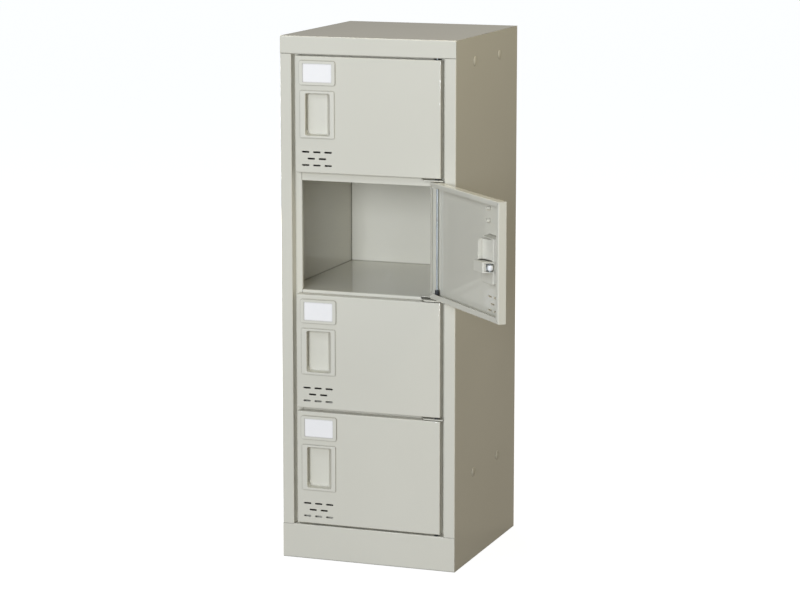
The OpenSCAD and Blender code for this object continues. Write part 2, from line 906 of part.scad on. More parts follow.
// sprung yoke with the roller's pin
module catch_slider(i) {
    color(ZINC)
        on_door(i) {
            for (z = [slider_z0, slider_z1 - slider_arm_t]) {
                box([roller_x, roller_y - slider_half_w, z],
                    [slider_back, roller_y + slider_half_w, z + slider_arm_t]);
                translate([roller_x, roller_y, z])
                    cylinder(r = slider_half_w, h = slider_arm_t);
            }
            box([slider_front, roller_y - slider_half_w, slider_z0],
                [slider_back, roller_y + slider_half_w, slider_z1]);
            translate([roller_x, roller_y, slider_z0])
                cylinder(d = pin_d, h = slider_z1 - slider_z0);
        }
}

module catch_roller(i) {
    color(NYLON)
        on_door(i)
            translate([roller_x, roller_y, case_mid - roller_h / 2])
                difference() {
                    cylinder(d = roller_d, h = roller_h);
                    translate([0, 0, -EPS])
                        cylinder(d = pin_d + 2 * pin_fit, h = roller_h + 2 * EPS);
                }
}

// lower bush with its spacer under the door, and upper bush with a thin flange
module bushes(i) {
    color(BLACK)
        on_door(i)
            translate([rod_x, rod_y, 0]) {
                difference() {
                    union() {
                        translate([0, 0, -spacer_h])
                            cylinder(d = spacer_d, h = spacer_h);
                        cylinder(d = bush_neck_d, h = door_sheet);
                        translate([0, 0, door_sheet])
                            cylinder(d = bush_d, h = bush_h);
                    }
                    translate([0, 0, -spacer_h - EPS])
                        cylinder(d = bush_bore_d, h = spacer_h + bush_h + door_sheet + 2 * EPS);
                }
                translate([0, 0, door_h])
                    difference() {
                        union() {
                            cylinder(d = spacer_d, h = top_flange_h);
                            translate([0, 0, -door_sheet])
                                cylinder(d = bush_neck_d, h = door_sheet);
                            translate([0, 0, -bush_h / 2])
                                cylinder(d = bush_d, h = bush_h / 2 - door_sheet);
                        }
                        translate([0, 0, -bush_h])
                            cylinder(d = bush_bore_d, h = 2 * bush_h);
                    }
            }
}

left_side_panel();
right_side_panel();
top_panel();
back_panel();
kick_plate();
base_rail();
shelf(1);  // shelf_1
shelf(2);  // shelf_2
shelf(3);  // shelf_3
bottom_shelf();
hinge_rod();
rod_clips();
side_plugs();
door_panel(1);  // door_1_panel
handle(1);  // door_1_handle
label_frame(1);  // door_1_label_frame
label_card(1);  // door_1_card
bushes(1);  // door_1_bushes
catch_case(1);  // door_1_catch_case
catch_spring(1);  // door_1_catch_spring
catch_slider(1);  // door_1_catch_slider
catch_roller(1);  // door_1_catch_roller
door_panel(2);  // door_2_panel
handle(2);  // door_2_handle
label_frame(2);  // door_2_label_frame
label_card(2);  // door_2_card
bushes(2);  // door_2_bushes
catch_case(2);  // door_2_catch_case
catch_spring(2);  // door_2_catch_spring
catch_slider(2);  // door_2_catch_slider
catch_roller(2);  // door_2_catch_roller
door_panel(3);  // door_3_panel
handle(3);  // door_3_handle
label_frame(3);  // door_3_label_frame
label_card(3);  // door_3_card
bushes(3);  // door_3_bushes
catch_case(3);  // door_3_catch_case
catch_spring(3);  // door_3_catch_spring
catch_slider(3);  // door_3_catch_slider
catch_roller(3);  // door_3_catch_roller
door_panel(4);  // door_4_panel
handle(4);  // door_4_handle
label_frame(4);  // door_4_label_frame
label_card(4);  // door_4_card
bushes(4);  // door_4_bushes
catch_case(4);  // door_4_catch_case
catch_spring(4);  // door_4_catch_spring
catch_slider(4);  // door_4_catch_slider
catch_roller(4);  // door_4_catch_roller
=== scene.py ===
# %% [markdown]
# A narrow steel shoe locker stands on a pale floor. It has one column of compartments, and each has a
# flush swing door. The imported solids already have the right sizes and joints, so this lesson only dresses
# them: it rounds the cut edges of the folded sheet, models the small fittings, and paints everything.

# %% Load the frame
import json
import math
import bmesh
import bpy
import numpy as np
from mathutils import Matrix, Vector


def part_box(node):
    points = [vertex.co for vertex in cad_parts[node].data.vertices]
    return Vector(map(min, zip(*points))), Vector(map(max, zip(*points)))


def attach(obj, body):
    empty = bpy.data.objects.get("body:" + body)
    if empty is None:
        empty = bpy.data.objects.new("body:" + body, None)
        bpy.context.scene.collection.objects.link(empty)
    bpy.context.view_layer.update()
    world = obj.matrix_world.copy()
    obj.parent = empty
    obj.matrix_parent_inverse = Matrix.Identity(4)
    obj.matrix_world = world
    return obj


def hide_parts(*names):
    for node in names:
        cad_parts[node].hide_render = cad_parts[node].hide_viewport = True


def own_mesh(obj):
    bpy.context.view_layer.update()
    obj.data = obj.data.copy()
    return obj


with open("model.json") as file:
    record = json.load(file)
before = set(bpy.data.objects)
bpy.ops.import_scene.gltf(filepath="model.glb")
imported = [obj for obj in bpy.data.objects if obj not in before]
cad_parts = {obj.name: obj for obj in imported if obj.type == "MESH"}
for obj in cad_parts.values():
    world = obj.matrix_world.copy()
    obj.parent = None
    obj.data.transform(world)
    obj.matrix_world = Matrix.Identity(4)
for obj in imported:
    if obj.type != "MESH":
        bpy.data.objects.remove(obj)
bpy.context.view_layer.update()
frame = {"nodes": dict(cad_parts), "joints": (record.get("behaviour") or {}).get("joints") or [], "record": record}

# %% [markdown]
# All doors are the same, so every fitting is worked out once, in the place it has on the closed top door.
# A copy for a lower door is shifted down by whole compartments. The second door stands open, so its
# copies also turn about the hinge rod. Turned and moved objects would do this too, but here each object
# has to stay at the origin with its place in its mesh, so the points themselves are carried along.

# %% Places of the four doors
DOORS = (1, 2, 3, 4)
OPEN_DOOR = 2
OPEN_ANGLE = math.radians(134)
MM = 0.001
PITCH = (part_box("door_1_panel")[0].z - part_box("door_4_panel")[0].z) / 3
ROD = np.array(next(j for j in frame["joints"] if j["name"] == "door_1_swing")["pos_m"])
DOOR_LOW, DOOR_HIGH = (np.array(c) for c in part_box("door_1_panel"))
print("compartment pitch", round(PITCH, 4), "rod at", ROD[:2])


def for_door(points, door):
    """Carries points of the closed top door to another door.

    z goes down by the pitch times the number of doors passed. For the open door, x and y then turn by
    the open angle about the rod.
    """
    points = np.array(points, float)
    points[:, 2] -= PITCH * (door - 1)
    if door == OPEN_DOOR:
        c, s = math.cos(OPEN_ANGLE), math.sin(OPEN_ANGLE)
        flat = points[:, :2] - ROD[:2]
        points[:, 0] = ROD[0] + c * flat[:, 0] - s * flat[:, 1]
        points[:, 1] = ROD[1] + s * flat[:, 0] + c * flat[:, 1]
    return points


# %% [markdown]
# New surfaces are grids of points. Neighbouring rows and columns are joined by four-sided faces, a closed
# direction wraps round, and a closed body gets a fan of triangles at each end. The sign of its volume
# tells whether the faces look outwards, and if they don't, the whole body is turned inside out.

# %% From arrays to meshes
def grid_faces(rows, columns):
    """Quads between neighbouring rows of a grid that wraps round its columns.

    Point (i, j) has the number i times columns plus j, and the column after the last is the first.
    """
    i = np.arange(rows - 1)[:, None]
    j = np.arange(columns)[None, :]
    k = (j + 1) % columns
    quads = np.stack([i * columns + j, i * columns + k, (i + 1) * columns + k, (i + 1) * columns + j], axis=-1)
    return quads.reshape(-1, 4)


def lofted(rings):
    """Closed body through a stack of rings of equal count, with a fan to the mean of each end ring."""
    rings = np.asarray(rings, float)
    rows, columns, _ = rings.shape
    points = np.concatenate([rings.reshape(-1, 3), rings[:1].mean(axis=1), rings[-1:].mean(axis=1)])
    j = np.arange(columns)
    k = (j + 1) % columns
    first, last = rows * columns, rows * columns + 1
    start = np.stack([np.full(columns, first), k, j], axis=-1)
    end = np.stack([np.full(columns, last), (rows - 1) * columns + j, (rows - 1) * columns + k], axis=-1)
    return points, [*grid_faces(rows, columns).tolist(), *start.tolist(), *end.tolist()]


def closed_loop(rings):
    """Body through rings of which the last is joined to the first, as in a washer: no ends, no fans."""
    rings = np.asarray(rings, float)
    rows, columns, _ = rings.shape
    return rings.reshape(-1, 3), (grid_faces(rows + 1, columns) % (rows * columns)).tolist()


def turned(profile, centre, axis, count=40):
    """Lathe body: ring k is a circle of radius profile[k][0] at height profile[k][1] along the axis."""
    axis = np.array(axis, float)
    side = np.cross(axis, (0.0, 0.6, 0.8))
    side /= np.linalg.norm(side)
    other = np.cross(axis, side)
    angle = np.linspace(0, 2 * math.pi, count, endpoint=False)[:, None]
    circle = np.cos(angle) * side + np.sin(angle) * other
    return lofted([np.array(centre, float) + r * MM * circle + h * MM * axis for r, h in profile])


def volume(points, faces):
    """Signed volume: the sum over fan triangles of a dot (b cross c), divided by six."""
    total = 0.0
    for size in (3, 4):
        some = np.array([f for f in faces if len(f) == size])
        if len(some):
            for k in range(1, size - 1):
                a, b, c = points[some[:, 0]], points[some[:, k]], points[some[:, k + 1]]
                total += np.einsum("ij,ij->i", a, np.cross(b, c)).sum() / 6
    return total


SHARP_ANGLE = math.radians(40)


def piece(name, bodies, material, body, replaced=()):
    """One object from a list of (points, faces) bodies, all turned outwards, riding on a body."""
    points, faces, start = [], [], 0
    for p, f in bodies:
        if volume(p, f) < 0:
            f = [list(reversed(face)) for face in f]
        points.append(p)
        faces += [[n + start for n in face] for face in f]
        start += len(p)
    mesh = bpy.data.meshes.new(name)
    mesh.from_pydata(np.concatenate(points).tolist(), [], faces)
    mesh.update()
    mesh.shade_smooth()
    mesh.set_sharp_from_angle(angle=SHARP_ANGLE)
    mesh.materials.append(material)
    thing = bpy.data.objects.new(name, mesh)
    bpy.context.scene.collection.objects.link(thing)
    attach(thing, body)
    if replaced:
        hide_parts(*replaced)
    return thing


print("helpers for grids, lofts, loops and turned bodies ready")

# %% [markdown]
# Every surface gets a procedural finish. One node group makes the marks that the finishes share: a slow
# drift of tone, a patchy gloss and a fine relief. Each material chooses its own sizes and colours for
# them, and keeps its shader outside the group. A fourth output is small in narrow joints, and there the
# finishes darken their colour as painted shade, so each seam and frame gets a thin dark outline. Outlines
# drawn one by one would be needed for every seam; measuring how open each point is finds them all.

# %% The shared surface marks
JOINT_REACH = 2.5 * MM
JOINT_CONTRAST = 1.4


def surface_marks():
    """Group that gives four values for a place.

    Tone is slow noise and rub is middling noise, both spread to 0 to 1. Relief is fine noise plus a share
    of a slow wave. Joint Shade is the part of short rays that meet nothing, raised to a power: painted
    shade that is small in joints and corners.
    """
    group = bpy.data.node_groups.new("surface_marks", "ShaderNodeTree")
    face = group.interface
    face.new_socket("Vector", in_out="INPUT", socket_type="NodeSocketVector")
    for name, value in (("Tone Scale", 3.0), ("Rub Scale", 30.0), ("Relief Scale", 400.0), ("Wave Share", 0.5)):
        face.new_socket(name, in_out="INPUT", socket_type="NodeSocketFloat").default_value = value
    for name in ("Tone", "Rub", "Relief", "Joint Shade"):
        face.new_socket(name, in_out="OUTPUT", socket_type="NodeSocketFloat")
    nodes, links = group.nodes, group.links
    entry, leave = nodes.new("NodeGroupInput"), nodes.new("NodeGroupOutput")

    def noise(scale_name, detail):
        made = nodes.new("ShaderNodeTexNoise")
        made.inputs["Detail"].default_value = detail
        links.new(entry.outputs["Vector"], made.inputs["Vector"])
        links.new(entry.outputs[scale_name], made.inputs["Scale"])
        return made.outputs["Fac"]

    def mapped(value):
        made = nodes.new("ShaderNodeMapRange")
        made.inputs["From Min"].default_value = 0.3
        made.inputs["From Max"].default_value = 0.7
        links.new(value, made.inputs["Value"])
        return made.outputs["Result"]

    links.new(mapped(noise("Tone Scale", 2.0)), leave.inputs["Tone"])
    links.new(mapped(noise("Rub Scale", 4.0)), leave.inputs["Rub"])
    wave = nodes.new("ShaderNodeMath")
    wave.operation = "MULTIPLY_ADD"
    links.new(noise("Rub Scale", 0.0), wave.inputs[0])
    links.new(entry.outputs["Wave Share"], wave.inputs[1])
    links.new(noise("Relief Scale", 2.0), wave.inputs[2])
    links.new(wave.outputs["Value"], leave.inputs["Relief"])
    # Painted shade: the share of short rays that meet nothing is small in joints and corners, and the finishes
    # darken their colour by it.
    joint = nodes.new("ShaderNodeAmbientOcclusion")
    joint.samples = 8
    joint.inputs["Distance"].default_value = JOINT_REACH
    deepened = nodes.new("ShaderNodeMath")
    deepened.operation = "POWER"
    deepened.inputs[1].default_value = JOINT_CONTRAST
    links.new(joint.outputs["AO"], deepened.inputs[0])
    links.new(deepened.outputs["Value"], leave.inputs["Joint Shade"])
    return group


MARKS = surface_marks()
print("marks put out:", ", ".join(s.name for s in MARKS.interface.items_tree if s.in_out == "OUTPUT"))

# %% [markdown]
# The finishes differ only in their numbers, so one function builds them all. The shader stays in the
# material, with every number that is the same all over the surface set on its own socket, because only
# there does a model exported from Blender keep it.

# %% A finish made from the marks
# Colour of the painted shade in joints, as a share of each finish's dark tone.
SHADE_TINT = (0.30, 0.27, 0.22)


def finish_material(name, dark, light, rough, scales, depth, stretch=(1, 1, 1), **shader_values):
    """Material made from the marks.

    Tone mixes dark and light, and joints get painted shade that turns them to dark times the shade tint.
    Rub moves roughness between its two values, and relief raises the surface by depth metres for each unit.
    relief, then the wave's share. What is named after them is set on the shader's own sockets.
    """
    material = bpy.data.materials.new(name)
    material.use_nodes = True
    nodes, links = material.node_tree.nodes, material.node_tree.links
    shader = nodes["Principled BSDF"]
    place = nodes.new("ShaderNodeTexCoord")
    mapping = nodes.new("ShaderNodeMapping")
    mapping.inputs["Scale"].default_value = stretch
    links.new(place.outputs["Object"], mapping.inputs["Vector"])
    marks = nodes.new("ShaderNodeGroup")
    marks.node_tree = MARKS
    links.new(mapping.outputs["Vector"], marks.inputs["Vector"])
    for socket, value in zip(("Tone Scale", "Rub Scale", "Relief Scale", "Wave Share"), scales):
        marks.inputs[socket].default_value = value
    mix = nodes.new("ShaderNodeMix")
    mix.data_type = "RGBA"
    mix.inputs["A"].default_value = (*dark, 1)
    mix.inputs["B"].default_value = (*light, 1)
    links.new(marks.outputs["Tone"], mix.inputs["Factor"])
    # Painted shade: where little light reaches into a joint, the colour turns towards dark times the shade tint.
    shade = nodes.new("ShaderNodeMix")
    shade.data_type = "RGBA"
    shade.inputs["A"].default_value = (*(value * shade_tint for value, shade_tint in zip(dark, SHADE_TINT)), 1)
    links.new(marks.outputs["Joint Shade"], shade.inputs["Factor"])
    links.new(mix.outputs["Result"], shade.inputs["B"])
    links.new(shade.outputs["Result"], shader.inputs["Base Color"])
    gloss = nodes.new("ShaderNodeMapRange")
    gloss.inputs["To Min"].default_value, gloss.inputs["To Max"].default_value = rough
    links.new(marks.outputs["Rub"], gloss.inputs["Value"])
    links.new(gloss.outputs["Result"], shader.inputs["Roughness"])
    bump = nodes.new("ShaderNodeBump")
    bump.inputs["Distance"].default_value = depth
    links.new(marks.outputs["Relief"], bump.inputs["Height"])
    links.new(bump.outputs["Normal"], shader.inputs["Normal"])
    for socket, value in shader_values.items():
        shader.inputs[socket.replace("_", " ")].default_value = value
    print("finish", name, "ready")
    return material


# %% [markdown]
# The sheet is painted with a pale warm-grey baked enamel, which is a matt colour under a glossy clear
# coat. Up close it has the slight orange peel of sprayed paint, and the sheet under it isn't perfectly
# flat. The pulls, card frames and catch cases are moulded in plastic of the same colour, a little duller.
# The rod, yokes, springs and washers are zinc plated, with fine upright streaks, and the bushes are black.

# %% The finishes
PAINT = finish_material("baked_enamel", (0.675, 0.650, 0.552), (0.697, 0.672, 0.574), (0.38, 0.46),
                        (4.0, 22.0, 420.0, 1.5), 0.00003, Coat_Weight=1.0, Coat_Roughness=0.06,
                        Specular_IOR_Level=0.0)
MOULDED = finish_material("moulded_plastic", (0.668, 0.644, 0.550), (0.686, 0.662, 0.568), (0.42, 0.50),
                          (9.0, 60.0, 1400.0, 0.3), 0.00002)
ZINC = finish_material("bright_zinc", (0.40, 0.44, 0.46), (0.54, 0.58, 0.60), (0.22, 0.40),
                       (60.0, 160.0, 900.0, 0.4), 0.00002, stretch=(1, 1, 0.08), Metallic=1.0)
BLACK = finish_material("black_nylon", (0.012, 0.013, 0.015), (0.022, 0.023, 0.026), (0.38, 0.52),
                        (40.0, 200.0, 1800.0, 0.3), 0.00003)
CARD = finish_material("plain_card", (0.915, 0.890, 0.858), (0.927, 0.902, 0.870), (0.80, 0.92),
                       (120.0, 400.0, 2200.0, 0.2), 0.00001)
NYLON = finish_material("white_nylon", (0.80, 0.80, 0.79), (0.86, 0.86, 0.85), (0.30, 0.42),
                        (50.0, 150.0, 1500.0, 0.3), 0.00002)
BY_SLOT = {"body_paint": PAINT, "body_plastic": MOULDED, "zinc": ZINC, "black_plastic": BLACK, "card": CARD,
           "nylon": NYLON}

# %% [markdown]
# A sheared sheet edge is never razor sharp: the tool and the paint round it by a few tenths of a
# millimetre, and that round is what catches the light as a thin bright line. So each folded solid is
# copied, its loose triangles are merged and flat ones joined, and a Bevel modifier rounds what is sharp.
# Modelling every fold anew would give the same look, but could drift from the solid's true size.

# %% Rounded copies of the folded solids
SLOT_OF = {s["node"]: s["material_slot"] for s in frame["record"]["subparts"]}
BODY_OF = {node: body for body, members in frame["record"]["behaviour"]["bodies"].items() for node in members}


def even_shading(thing):
    """Modifier that lets the largest face at each point set its normal, so that flat faces look flat."""
    even = thing.modifiers.new("flat_faces", "WEIGHTED_NORMAL")
    even.keep_sharp = True
    even.weight = 100


def softened(node, width, segments=2):
    """Copy of a solid: points merged, flat faces joined and kept convex, sharp edges rounded by width."""
    source = frame["nodes"][node]
    shape = bmesh.new()
    shape.from_mesh(source.data)
    bmesh.ops.remove_doubles(shape, verts=shape.verts, dist=1e-6)
    bmesh.ops.dissolve_limit(shape, angle_limit=math.radians(0.5), verts=shape.verts, edges=shape.edges)
    bmesh.ops.connect_verts_concave(shape, faces=shape.faces)
    mesh = bpy.data.meshes.new(node + "_dressed")
    shape.to_mesh(mesh)
    shape.free()
    mesh.shade_smooth()
    mesh.set_sharp_from_angle(angle=SHARP_ANGLE)
    mesh.materials.clear()
    mesh.materials.append(BY_SLOT[SLOT_OF[node]])
    thing = bpy.data.objects.new(node + "_dressed", mesh)
    bpy.context.scene.collection.objects.link(thing)
    bevel = thing.modifiers.new("cut_edges", "BEVEL")
    bevel.width = width
    bevel.segments = segments
    bevel.limit_method = "ANGLE"
    bevel.angle_limit = math.radians(30)
    even_shading(thing)
    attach(thing, BODY_OF[node])
    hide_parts(node)
    return thing


SHEET_NODES = ["left_side_panel", "right_side_panel", "top_panel", "back_panel", "kick_plate", "base_rail",
               "bottom_shelf", "shelf_1", "shelf_2", "shelf_3", *(f"door_{d}_panel" for d in DOORS)]
SMALL_NODES = [f"door_{d}_{part}" for d in DOORS for part in ("label_frame", "catch_slider", "card")]
SHEET_ROUND, SMALL_ROUND, CARD_ROUND, CASE_ROUND = 0.25 * MM, 0.3 * MM, 0.1 * MM, 0.6 * MM
for node in SHEET_NODES:
    softened(node, SHEET_ROUND)
for node in SMALL_NODES:
    softened(node, CARD_ROUND if "card" in node else SMALL_ROUND)
for door in DOORS:
    softened(f"door_{door}_catch_case", CASE_ROUND, 3)
print(len(SHEET_NODES) + len(SMALL_NODES) + len(DOORS), "solids dressed")

# %% [markdown]
# The pull is one moulding: a thin frame on the face of the door and a cup behind it for the fingers. Every
# level of it is a rounded rectangle, so it is lofted through such outlines, from the back of the cup round
# the frame and down into the recess. The wall under the fingers is undercut, and the opposite one slants.
# Cutting a hole out of a block would need a Boolean, which leaves no clean rounded corners.

# %% Outlines of a finger pull
ARC_POINTS, SIDE_POINTS = 7, 15


def on_face(points):
    """Millimetres from the door's free edge, front and lower edge, turned into metres on the top door."""
    return DOOR_LOW + np.asarray(points, float) * MM


def level(depth, sides, radius, undercut=0.0):
    """Outline at a depth: a rectangle between four sides, with round corners.

    Sides are its free side, its hinge side, its bottom and its top. The free side is moved out by the
    undercut between a little above the bottom and a little below the top, over a short ramp at each end.
    """
    u0, u1, z0, z1 = sides
    corners = ((u1 - radius, z1 - radius, 0), (u0 + radius, z1 - radius, 90),
               (u0 + radius, z0 + radius, 180), (u1 - radius, z0 + radius, 270))
    points = []
    for k, (u, z, start) in enumerate(corners):
        angle = np.radians(start + np.linspace(0, 90, ARC_POINTS))
        arc = np.stack([u + radius * np.cos(angle), z + radius * np.sin(angle)], axis=-1)
        following = corners[(k + 1) % 4]
        turn = math.radians(start + 90)
        end = np.array([following[0] + radius * math.cos(turn), following[1] + radius * math.sin(turn)])
        share = np.linspace(0, 1, SIDE_POINTS)[1:-1, None]
        points += [arc, arc[-1] + share * (end - arc[-1])]
    flat = np.concatenate(points)
    above_bottom, below_top, ramp = 4.0, 2.0, 1.5
    if undercut:
        ends = (np.clip((flat[:, 1] - z0 - above_bottom) / ramp, 0, 1)
                * np.clip((z1 - below_top - flat[:, 1]) / ramp, 0, 1))
        flat[:, 0] -= undercut * ends * (flat[:, 0] < u0 + radius)
    return np.stack([flat[:, 0], np.full(len(flat), depth), flat[:, 1]], axis=-1)


def narrowed(sides, inset, lean=0.0):
    """Sides moved inwards by an inset, or outwards where it is negative; the hinge side also by the lean."""
    return sides[0] + inset, sides[1] - lean - inset, sides[2] + inset, sides[3] - inset


print("an outline has", len(level(0.0, (0.0, 10.0, 0.0, 10.0), 1.0)), "points")

# %% [markdown]
# Measures are in millimetres from the door's free edge, its front and its lower edge, and a depth in front
# of the face is negative. Where an edge is round, a few outlines follow each other closely, each a little
# narrower than the last. Behind the cup lies a slope that ends in a ridge, a plan lofted upwards.

# %% Finger pulls
CUP_SIDES = (13.4, 64.0, 61.4, 136.0)
FRAME_SIDES = (9.8, 70.8, 59.2, 138.2)
RECESS_SIDES = (19.0, 63.2, 63.2, 134.2)
CUP_CORNER, FRAME_CORNER, RECESS_CORNER = 2.6, 2.0, 3.0
CUP_BACK = 17.8
FRAME_FRONT = -1.8
PULL_LEAN = 10.3 / CUP_BACK
UNDERCUT = 3.8
FLOOR_ROUND_START, FLOOR_ROUND_DEPTH, FLOOR_ROUND_INSET = 13.0, 3.0, 2.4
RIDGE_PLAN = ((15.0, 17.3), (15.0, 17.8), (23.0, 18.3), (31.8, 19.2), (37.5, 20.6), (42.4, 22.6), (43.0, 23.2),
              (43.0, 29.3), (43.5, 30.0), (45.0, 30.0), (45.5, 29.3), (45.5, 17.3))
RIDGE_DEEPEST, RIDGE_ROUND_START, RIDGE_ROUND = 30.0, 128.0, 6.0


def finger_pull():
    """Loft: back of the cup, its outside, the frame's outside, the frame's face, the recess, its floor."""
    rings = []
    for depth, inset in ((CUP_BACK, 1.2), (17.62, 0.5), (17.1, 0.1), (16.4, 0.0), (0.0, 0.0)):
        rings.append(level(depth, narrowed(CUP_SIDES, inset, PULL_LEAN * depth), CUP_CORNER))
    for depth, inset in ((0.0, 0.25), (-0.35, 0.0), (-1.0, 0.0), (-1.5, 0.2), (FRAME_FRONT, 0.8)):
        rings.append(level(depth, narrowed(FRAME_SIDES, inset), FRAME_CORNER))
    for depth, outset in ((FRAME_FRONT, 0.9), (-1.6, 0.35), (-1.1, 0.0)):
        lean = PULL_LEAN * (depth - FRAME_FRONT)
        rings.append(level(depth, narrowed(RECESS_SIDES, -outset, lean), RECESS_CORNER + outset))
    for depth, cut in ((1.5, 0.0), (1.9, 0.8), (2.2, 2.2), (2.8, 3.4), (3.6, UNDERCUT),
                       (FLOOR_ROUND_START, UNDERCUT)):
        lean = PULL_LEAN * (depth - FRAME_FRONT)
        rings.append(level(depth, narrowed(RECESS_SIDES, 0.0, lean), RECESS_CORNER, cut))
    for angle in np.radians((25, 50, 70, 90)):
        depth = FLOOR_ROUND_START + FLOOR_ROUND_DEPTH * math.sin(angle)
        inset = FLOOR_ROUND_INSET * (1 - math.cos(angle))
        free, hinge, bottom, top = narrowed(RECESS_SIDES, 0.0, PULL_LEAN * (depth - FRAME_FRONT))
        sides = (free + 0.2 * inset, hinge - 0.4 * inset, bottom + inset, top - inset)
        rings.append(level(depth, sides, RECESS_CORNER, UNDERCUT))
    return lofted([on_face(ring) for ring in rings])


def pull_ridge():
    """Loft upwards of the plan of the slope and the ridge behind the cup.

    The plan's depth is cut off at a limit, which near the top follows a quarter circle.
    """
    rings = []
    rounding = RIDGE_ROUND_START + RIDGE_ROUND * np.sin(np.radians(np.linspace(10, 90, 8)))
    for up in (100.2, 100.6, 124.0, *rounding):
        above = max(up - RIDGE_ROUND_START, 0.0)
        limit = RIDGE_DEEPEST - RIDGE_ROUND + math.sqrt(max(RIDGE_ROUND ** 2 - above ** 2, 0.0))
        rings.append([(u, min(depth, limit), up) for u, depth in RIDGE_PLAN])
    return lofted([on_face(ring) for ring in rings])


for door in DOORS:
    pull = [(for_door(points, door), faces) for points, faces in (finger_pull(), pull_ridge())]
    even_shading(piece(f"door_{door}_finger_pull", pull, MOULDED, f"door_{door}",
                       [f"door_{door}_handle"]))
print("pulls made, each with", len(pull[0][0]) + len(pull[1][0]), "points")

# %% [markdown]
# The catch works with a nylon roller on a sprung yoke. The roller is turned, with rounded rims and a
# shallow dish in both ends. A lathe profile gives that more simply than bevelling a cylinder would.

# %% The shape of a roller
def low_and_high(node):
    """Lowest and highest corner of a node's box."""
    return (np.array(c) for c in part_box(node))


def catch_roller():
    """Lathe about an upright axis: dish, rounded rim, barrel, rounded rim, dish."""
    low, high = low_and_high("door_1_catch_roller")
    r, h = (high[0] - low[0]) / 2 / MM, (high[2] - low[2]) / 2 / MM
    dish, rim, nearly_axis = 0.5, 0.9, 0.05
    lower = [(0.0, dish - h), (1.9, dish - h), (2.4, -h), (r - rim, -h), (r - 0.26, 0.26 - h), (r, rim - h)]
    upper = [(radius, -height) for radius, height in reversed(lower)]
    profile = [(max(radius, nearly_axis), height) for radius, height in lower + [(r, 0.0)] + upper]
    return turned(profile, (low + high) / 2, (0, 0, 1))


print("roller of", len(catch_roller()[0]), "points")

# %% [markdown]
# The spring behind the roller is a real coil: a thin round wire whose centre line is a helix, with a nearly
# flat turn at each end. A curve object with a bevel would look the same, but a grid of points is already
# a mesh.

# %% The shape of a spring
COIL_TURNS = 7
COIL_POINTS, WIRE_POINTS = 241, 10
COIL_WIRE = 0.4 * MM
END_TURN = 0.14
END_RISE = 0.07


def catch_coil():
    """Wire circles round a helix: x = the length times a rise s(t), and the angle = 2 pi times turns times t.

    s(t) has three straight pieces. It climbs slowly over the end turns and faster between them.
    """
    low, high = low_and_high("door_1_catch_spring")
    centre = (low + high) / 2
    radius, length = (high[2] - low[2]) / 2 - COIL_WIRE, high[0] - low[0] - 2 * COIL_WIRE
    t = np.linspace(0, 1, COIL_POINTS)
    rise = np.interp(t, (0, END_TURN, 1 - END_TURN, 1), (0, END_RISE, 1 - END_RISE, 1))
    angle = 2 * math.pi * COIL_TURNS * t
    outward = np.stack([np.zeros_like(t), np.cos(angle), np.sin(angle)], axis=-1)
    line = radius * outward
    line[:, 0] = (rise - 0.5) * length
    turn = np.linspace(0, 2 * math.pi, WIRE_POINTS, endpoint=False)[None, :, None]
    forward = np.array([1.0, 0.0, 0.0])
    wire = COIL_WIRE * (np.cos(turn) * outward[:, None, :] + np.sin(turn) * forward)
    return lofted(centre + line[:, None, :] + wire)


print("coil of", len(catch_coil()[0]), "points")

# %% [markdown]
# The roller rides on a body of its own, because it spins. The coil rides on the door with a mesh of its
# own, and the point where its end rests on its seat is worked out.

# %% Rollers and springs
for door in DOORS:
    points, faces = catch_roller()
    piece(f"door_{door}_roller", [(for_door(points, door), faces)], NYLON, f"roller_{door}",
          [f"door_{door}_catch_roller"])
    points, faces = catch_coil()
    coil = piece(f"door_{door}_coil", [(for_door(points, door), faces)], ZINC, f"door_{door}",
                 [f"door_{door}_catch_spring"])
    middle = points.mean(axis=0)
    seat = for_door([(points[:, 0].max(), middle[1], middle[2])], door)[0]
    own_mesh(coil)
print("a roller and a spring behind each of", len(DOORS), "doors")

# %% [markdown]
# Each door turns on one long rod through black bushes: a long one on a spacer at the door's foot, and a
# short one under a thin flange at its head. The rod is cut from bar, so its ends are chamfered. All of
# these are round, so each is a profile turned about the rod.

# %% Rod and bushes
BUSH_BODY, BUSH_NECK, BUSH_TIP, NEARLY_AXIS = 3.5, 2.9, 2.7, 0.1
LONG_BUSH, SHORT_BUSH = 15.0, 7.0


def bush_bodies():
    """Two lathe bodies: the long lower bush on its spacer, and the short upper one under its flange."""
    low, high = low_and_high("door_1_bushes")
    height = (high[2] - low[2]) / MM
    wide = (high[0] - low[0]) / 2 / MM
    spacer = DOOR_LOW[2] / MM - low[2] / MM
    foot = (ROD[0], ROD[1], low[2])
    lower = [(NEARLY_AXIS, 0.0), (wide - 0.5, 0.0), (wide, 0.5), (wide, spacer - 0.3), (wide - 0.3, spacer),
             (BUSH_NECK, spacer), (BUSH_NECK, spacer + 1.0), (BUSH_BODY, spacer + 1.0),
             (BUSH_BODY, spacer + LONG_BUSH - 0.8), (BUSH_TIP, spacer + LONG_BUSH),
             (NEARLY_AXIS, spacer + LONG_BUSH)]
    flange = height - (DOOR_HIGH[2] - DOOR_LOW[2]) / MM - spacer
    top = height - flange
    upper = [(NEARLY_AXIS, height), (wide - 0.3, height), (wide, height - 0.15), (wide, top), (BUSH_NECK, top),
             (BUSH_NECK, top - 1.0), (BUSH_BODY, top - 1.0), (BUSH_BODY, top - SHORT_BUSH + 0.8),
             (BUSH_TIP, top - SHORT_BUSH), (NEARLY_AXIS, top - SHORT_BUSH)]
    return [turned(profile, foot, (0, 0, 1), 48) for profile in (lower, upper)]


